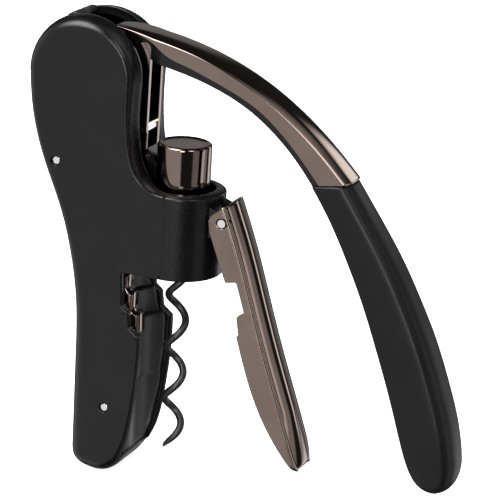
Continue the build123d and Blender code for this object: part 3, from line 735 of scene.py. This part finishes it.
# A pale floor that polished surfaces don't mirror, so that they show only the lights.
floor_mesh = bpy.data.meshes.new("studio_floor")
reach = 6.0
floor_z = cad_low.z - 0.0004  # just under the foot
floor_mesh.from_pydata(
    [(-reach, -reach, floor_z), (reach, -reach, floor_z), (reach, reach, floor_z), (-reach, reach, floor_z)],
    [], [(0, 1, 2, 3)],
)
studio_floor = bpy.data.objects.new("studio_floor", floor_mesh)
bpy.context.scene.collection.objects.link(studio_floor)
studio_floor.visible_glossy = False
paper = bpy.data.materials.new("white_background_paper")
paper.use_nodes = True
tree = paper.node_tree
tree.nodes.clear()
place = add_node(tree, "ShaderNodeTexCoord").outputs["Object"]
fibre = add_node(tree, "ShaderNodeTexNoise", Vector=place, Scale=900.0, Detail=3.0)
tooth = add_node(tree, "ShaderNodeBump", Height=fibre.outputs["Fac"], Strength=0.2, Distance=0.0001)
skin = add_node(
    tree, "ShaderNodeBsdfPrincipled", Base_Color=(0.6, 0.6, 0.6, 1), Roughness=0.95,
    Normal=tooth.outputs["Normal"], Emission_Color=(1, 1, 1, 1), Emission_Strength=0.8,
)
add_node(tree, "ShaderNodeOutputMaterial", Surface=skin.outputs["BSDF"])
floor_mesh.materials.append(paper)

# The room: a soft base level and broad panels, each an azimuth range and an elevation range in degrees
# (azimuth from +X towards +Y), how softly its edges fade, and its strength.
ROOM_LEVEL = 0.03
PANELS = [
    (-205, -80, -70, 22, 3, 12, 0.74),  # the white tent on the left, seen in every flat side
    (-180, -100, 40, 74, 14, 12, 11.0),  # its lit roof, which makes the soft edge on the head
    (-84, -68, -6, 34, 3, 8, 9.0),  # a narrow lit edge beside the tent
    (-44, -24, 30, 52, 6, 8, 6.0),  # a small window above on the right
    (-30, 2, -60, 30, 4, 10, 0.36),
    (13, 27, -60, 62, 2, 10, 1.3),  # a tall bright strip on the right
    (27, 42, -60, 14, 3, 8, 0.5),
    (59, 66, -8, 6, 1.5, 3, 1.9),  # a thin lit edge
    (57, 76, -32, -11, 3, 3, 1.5),
    (76, 170, -60, 4, 5, 6, 0.13),
    (-15, 55, 44, 80, 12, 10, 0.7),
    (60, 78, 12, 24, 3, 4, 2.4),  # the bright panel behind
    (100, 128, 8, 26, 5, 5, 0.26),
]
world = bpy.data.worlds.new("studio_room")
bpy.context.scene.world = world
world.use_nodes = True
tree = world.node_tree
tree.nodes.clear()
way = add_node(tree, "ShaderNodeTexCoord").outputs["Generated"]
MIDDLE = -50.0  # azimuths are read either side of this one
middle_cos, middle_sin = float(np.cos(np.radians(MIDDLE))), float(np.sin(np.radians(MIDDLE)))
dot, math = "ShaderNodeVectorMath", "ShaderNodeMath"
across_way = add_node(
    tree, dot, {"operation": "DOT_PRODUCT"}, way, (-middle_sin, middle_cos, 0.0),
).outputs["Value"]
ahead_way = add_node(
    tree, dot, {"operation": "DOT_PRODUCT"}, way, (middle_cos, middle_sin, 0.0),
).outputs["Value"]
height_way = add_node(tree, dot, {"operation": "DOT_PRODUCT"}, way, (0.0, 0.0, 1.0)).outputs["Value"]
around = add_node(tree, math, {"operation": "ARCTAN2"}, across_way, ahead_way).outputs[0]
above = add_node(tree, math, {"operation": "ARCSINE"}, height_way).outputs[0]
running = ROOM_LEVEL
for low_a, high_a, low_e, high_e, soft_a, soft_e, strength in PANELS:
    limits_met = []
    for value, place, soft in (
        (around, low_a - MIDDLE, soft_a), (around, high_a - MIDDLE, soft_a),
        (above, low_e, soft_e), (above, high_e, soft_e),
    ):
        limits = {"From_Min": float(np.radians(place - soft)), "From_Max": float(np.radians(place + soft))}
        step = add_node(tree, "ShaderNodeMapRange", {"interpolation_type": "SMOOTHSTEP"}, Value=value, **limits)
        limits_met.append(step.outputs["Result"])
    sides = add_node(tree, math, {"operation": "SUBTRACT"}, limits_met[0], limits_met[1]).outputs[0]
    heights = add_node(tree, math, {"operation": "SUBTRACT"}, limits_met[2], limits_met[3]).outputs[0]
    both = add_node(tree, math, {"operation": "MULTIPLY"}, sides, heights).outputs[0]
    running = add_node(tree, math, {"operation": "MULTIPLY_ADD"}, both, strength, running).outputs[0]
room = add_node(tree, "ShaderNodeBackground", Color=(1, 1, 1, 1), Strength=running)
white = add_node(tree, "ShaderNodeBackground", Color=(1, 1, 1, 1), Strength=1.0)
seen = add_node(tree, "ShaderNodeLightPath").outputs["Is Camera Ray"]
mix = add_node(tree, "ShaderNodeMixShader", None, seen, room.outputs[0], white.outputs[0])
add_node(tree, "ShaderNodeOutputWorld", Surface=mix.outputs[0])


def area_light(name, spot, size, power):
    """A soft square light at `spot`, in metres, aimed at the middle of the object; it lights the floor too."""
    lamp = bpy.data.lights.new(name, "AREA")
    lamp.shape, lamp.size, lamp.energy = "SQUARE", size, power
    made = bpy.data.objects.new(name, lamp)
    made.location = spot
    made.rotation_mode = "QUATERNION"
    made.rotation_quaternion = (Vector((0.03, 0, -0.03)) - Vector(spot)).to_track_quat("-Z", "Y")
    made.visible_glossy = False
    bpy.context.scene.collection.objects.link(made)


area_light("overhead_softbox", (0.1, -0.2, 1.6), 1.8, 30.0)
area_light("left_softbox", (-1.2, -0.8, 0.9), 1.2, 9.0)

# The camera stands 900 mm from the object, a little to its right and above, tilted a few degrees.
camera = bpy.data.cameras.new("camera")
camera.lens, camera.sensor_width = 178.9, 36.0
camera.clip_start, camera.clip_end = 0.05, 20.0
shot = bpy.data.objects.new("camera", camera)
bpy.context.scene.collection.objects.link(shot)
turn, rise, roll = np.radians((21.8, 17.72, 3.27))
ahead = np.array([-np.sin(turn) * np.cos(rise), np.cos(turn) * np.cos(rise), -np.sin(rise)])
level_right = np.array([np.cos(turn), np.sin(turn), 0])
level_up = np.cross(level_right, ahead)
right = level_right * np.cos(roll) + level_up * np.sin(roll)
up = level_up * np.cos(roll) - level_right * np.sin(roll)
spot = np.array([0.0276, 0.0, -0.01988]) - ahead * 0.9
shot.matrix_world = Matrix(
    [[*map(float, (right[i], up[i], -ahead[i], spot[i]))] for i in range(3)] + [[0, 0, 0, 1]]
)
bpy.context.scene.camera = shot
bpy.context.scene.view_settings.view_transform = "Standard"
